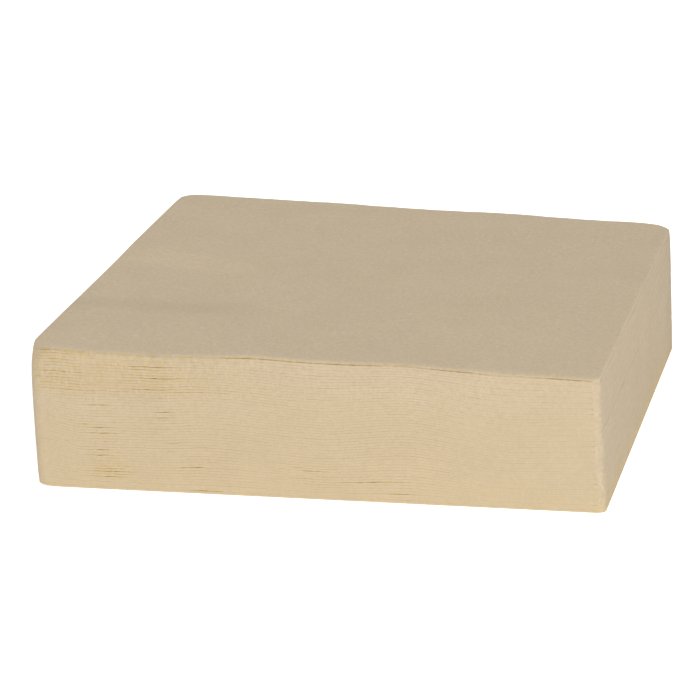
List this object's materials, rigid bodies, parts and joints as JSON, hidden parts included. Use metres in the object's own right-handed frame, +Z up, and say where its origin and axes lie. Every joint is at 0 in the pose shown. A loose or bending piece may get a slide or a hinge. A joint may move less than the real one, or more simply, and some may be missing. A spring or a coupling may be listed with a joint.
{
  "type": "stack of paper napkins",
  "caption": "Square stack of plain beige tissue-paper napkins, each folded twice into a quarter, lying flat on one another.",
  "frame": {"origin": "middle of the stack's footprint, on the surface that the stack lies on", "axes": "+Z up through the stack; +X to the right, towards the second folds; +Y to the back, away from the first folds"},
  "size_m": [0.165, 0.165, 0.0427],
  "materials": {
    "tissue_paper": "matte unbleached tissue"
  },
  "bodies": {
    "root": {"napkin_01": "tissue_paper", "napkin_02": "tissue_paper", "napkin_03": "tissue_paper", "napkin_04": "tissue_paper", "napkin_05": "tissue_paper", "napkin_06": "tissue_paper", "napkin_07": "tissue_paper", "napkin_08": "tissue_paper", "napkin_09": "tissue_paper", "napkin_10": "tissue_paper", "napkin_11": "tissue_paper", "napkin_12": "tissue_paper", "napkin_13": "tissue_paper", "napkin_14": "tissue_paper", "napkin_15": "tissue_paper", "napkin_16": "tissue_paper", "napkin_17": "tissue_paper", "napkin_18": "tissue_paper", "napkin_19": "tissue_paper", "napkin_20": "tissue_paper", "napkin_21": "tissue_paper", "napkin_22": "tissue_paper", "napkin_23": "tissue_paper", "napkin_24": "tissue_paper", "napkin_25": "tissue_paper"}
  },
  "joints": []
}
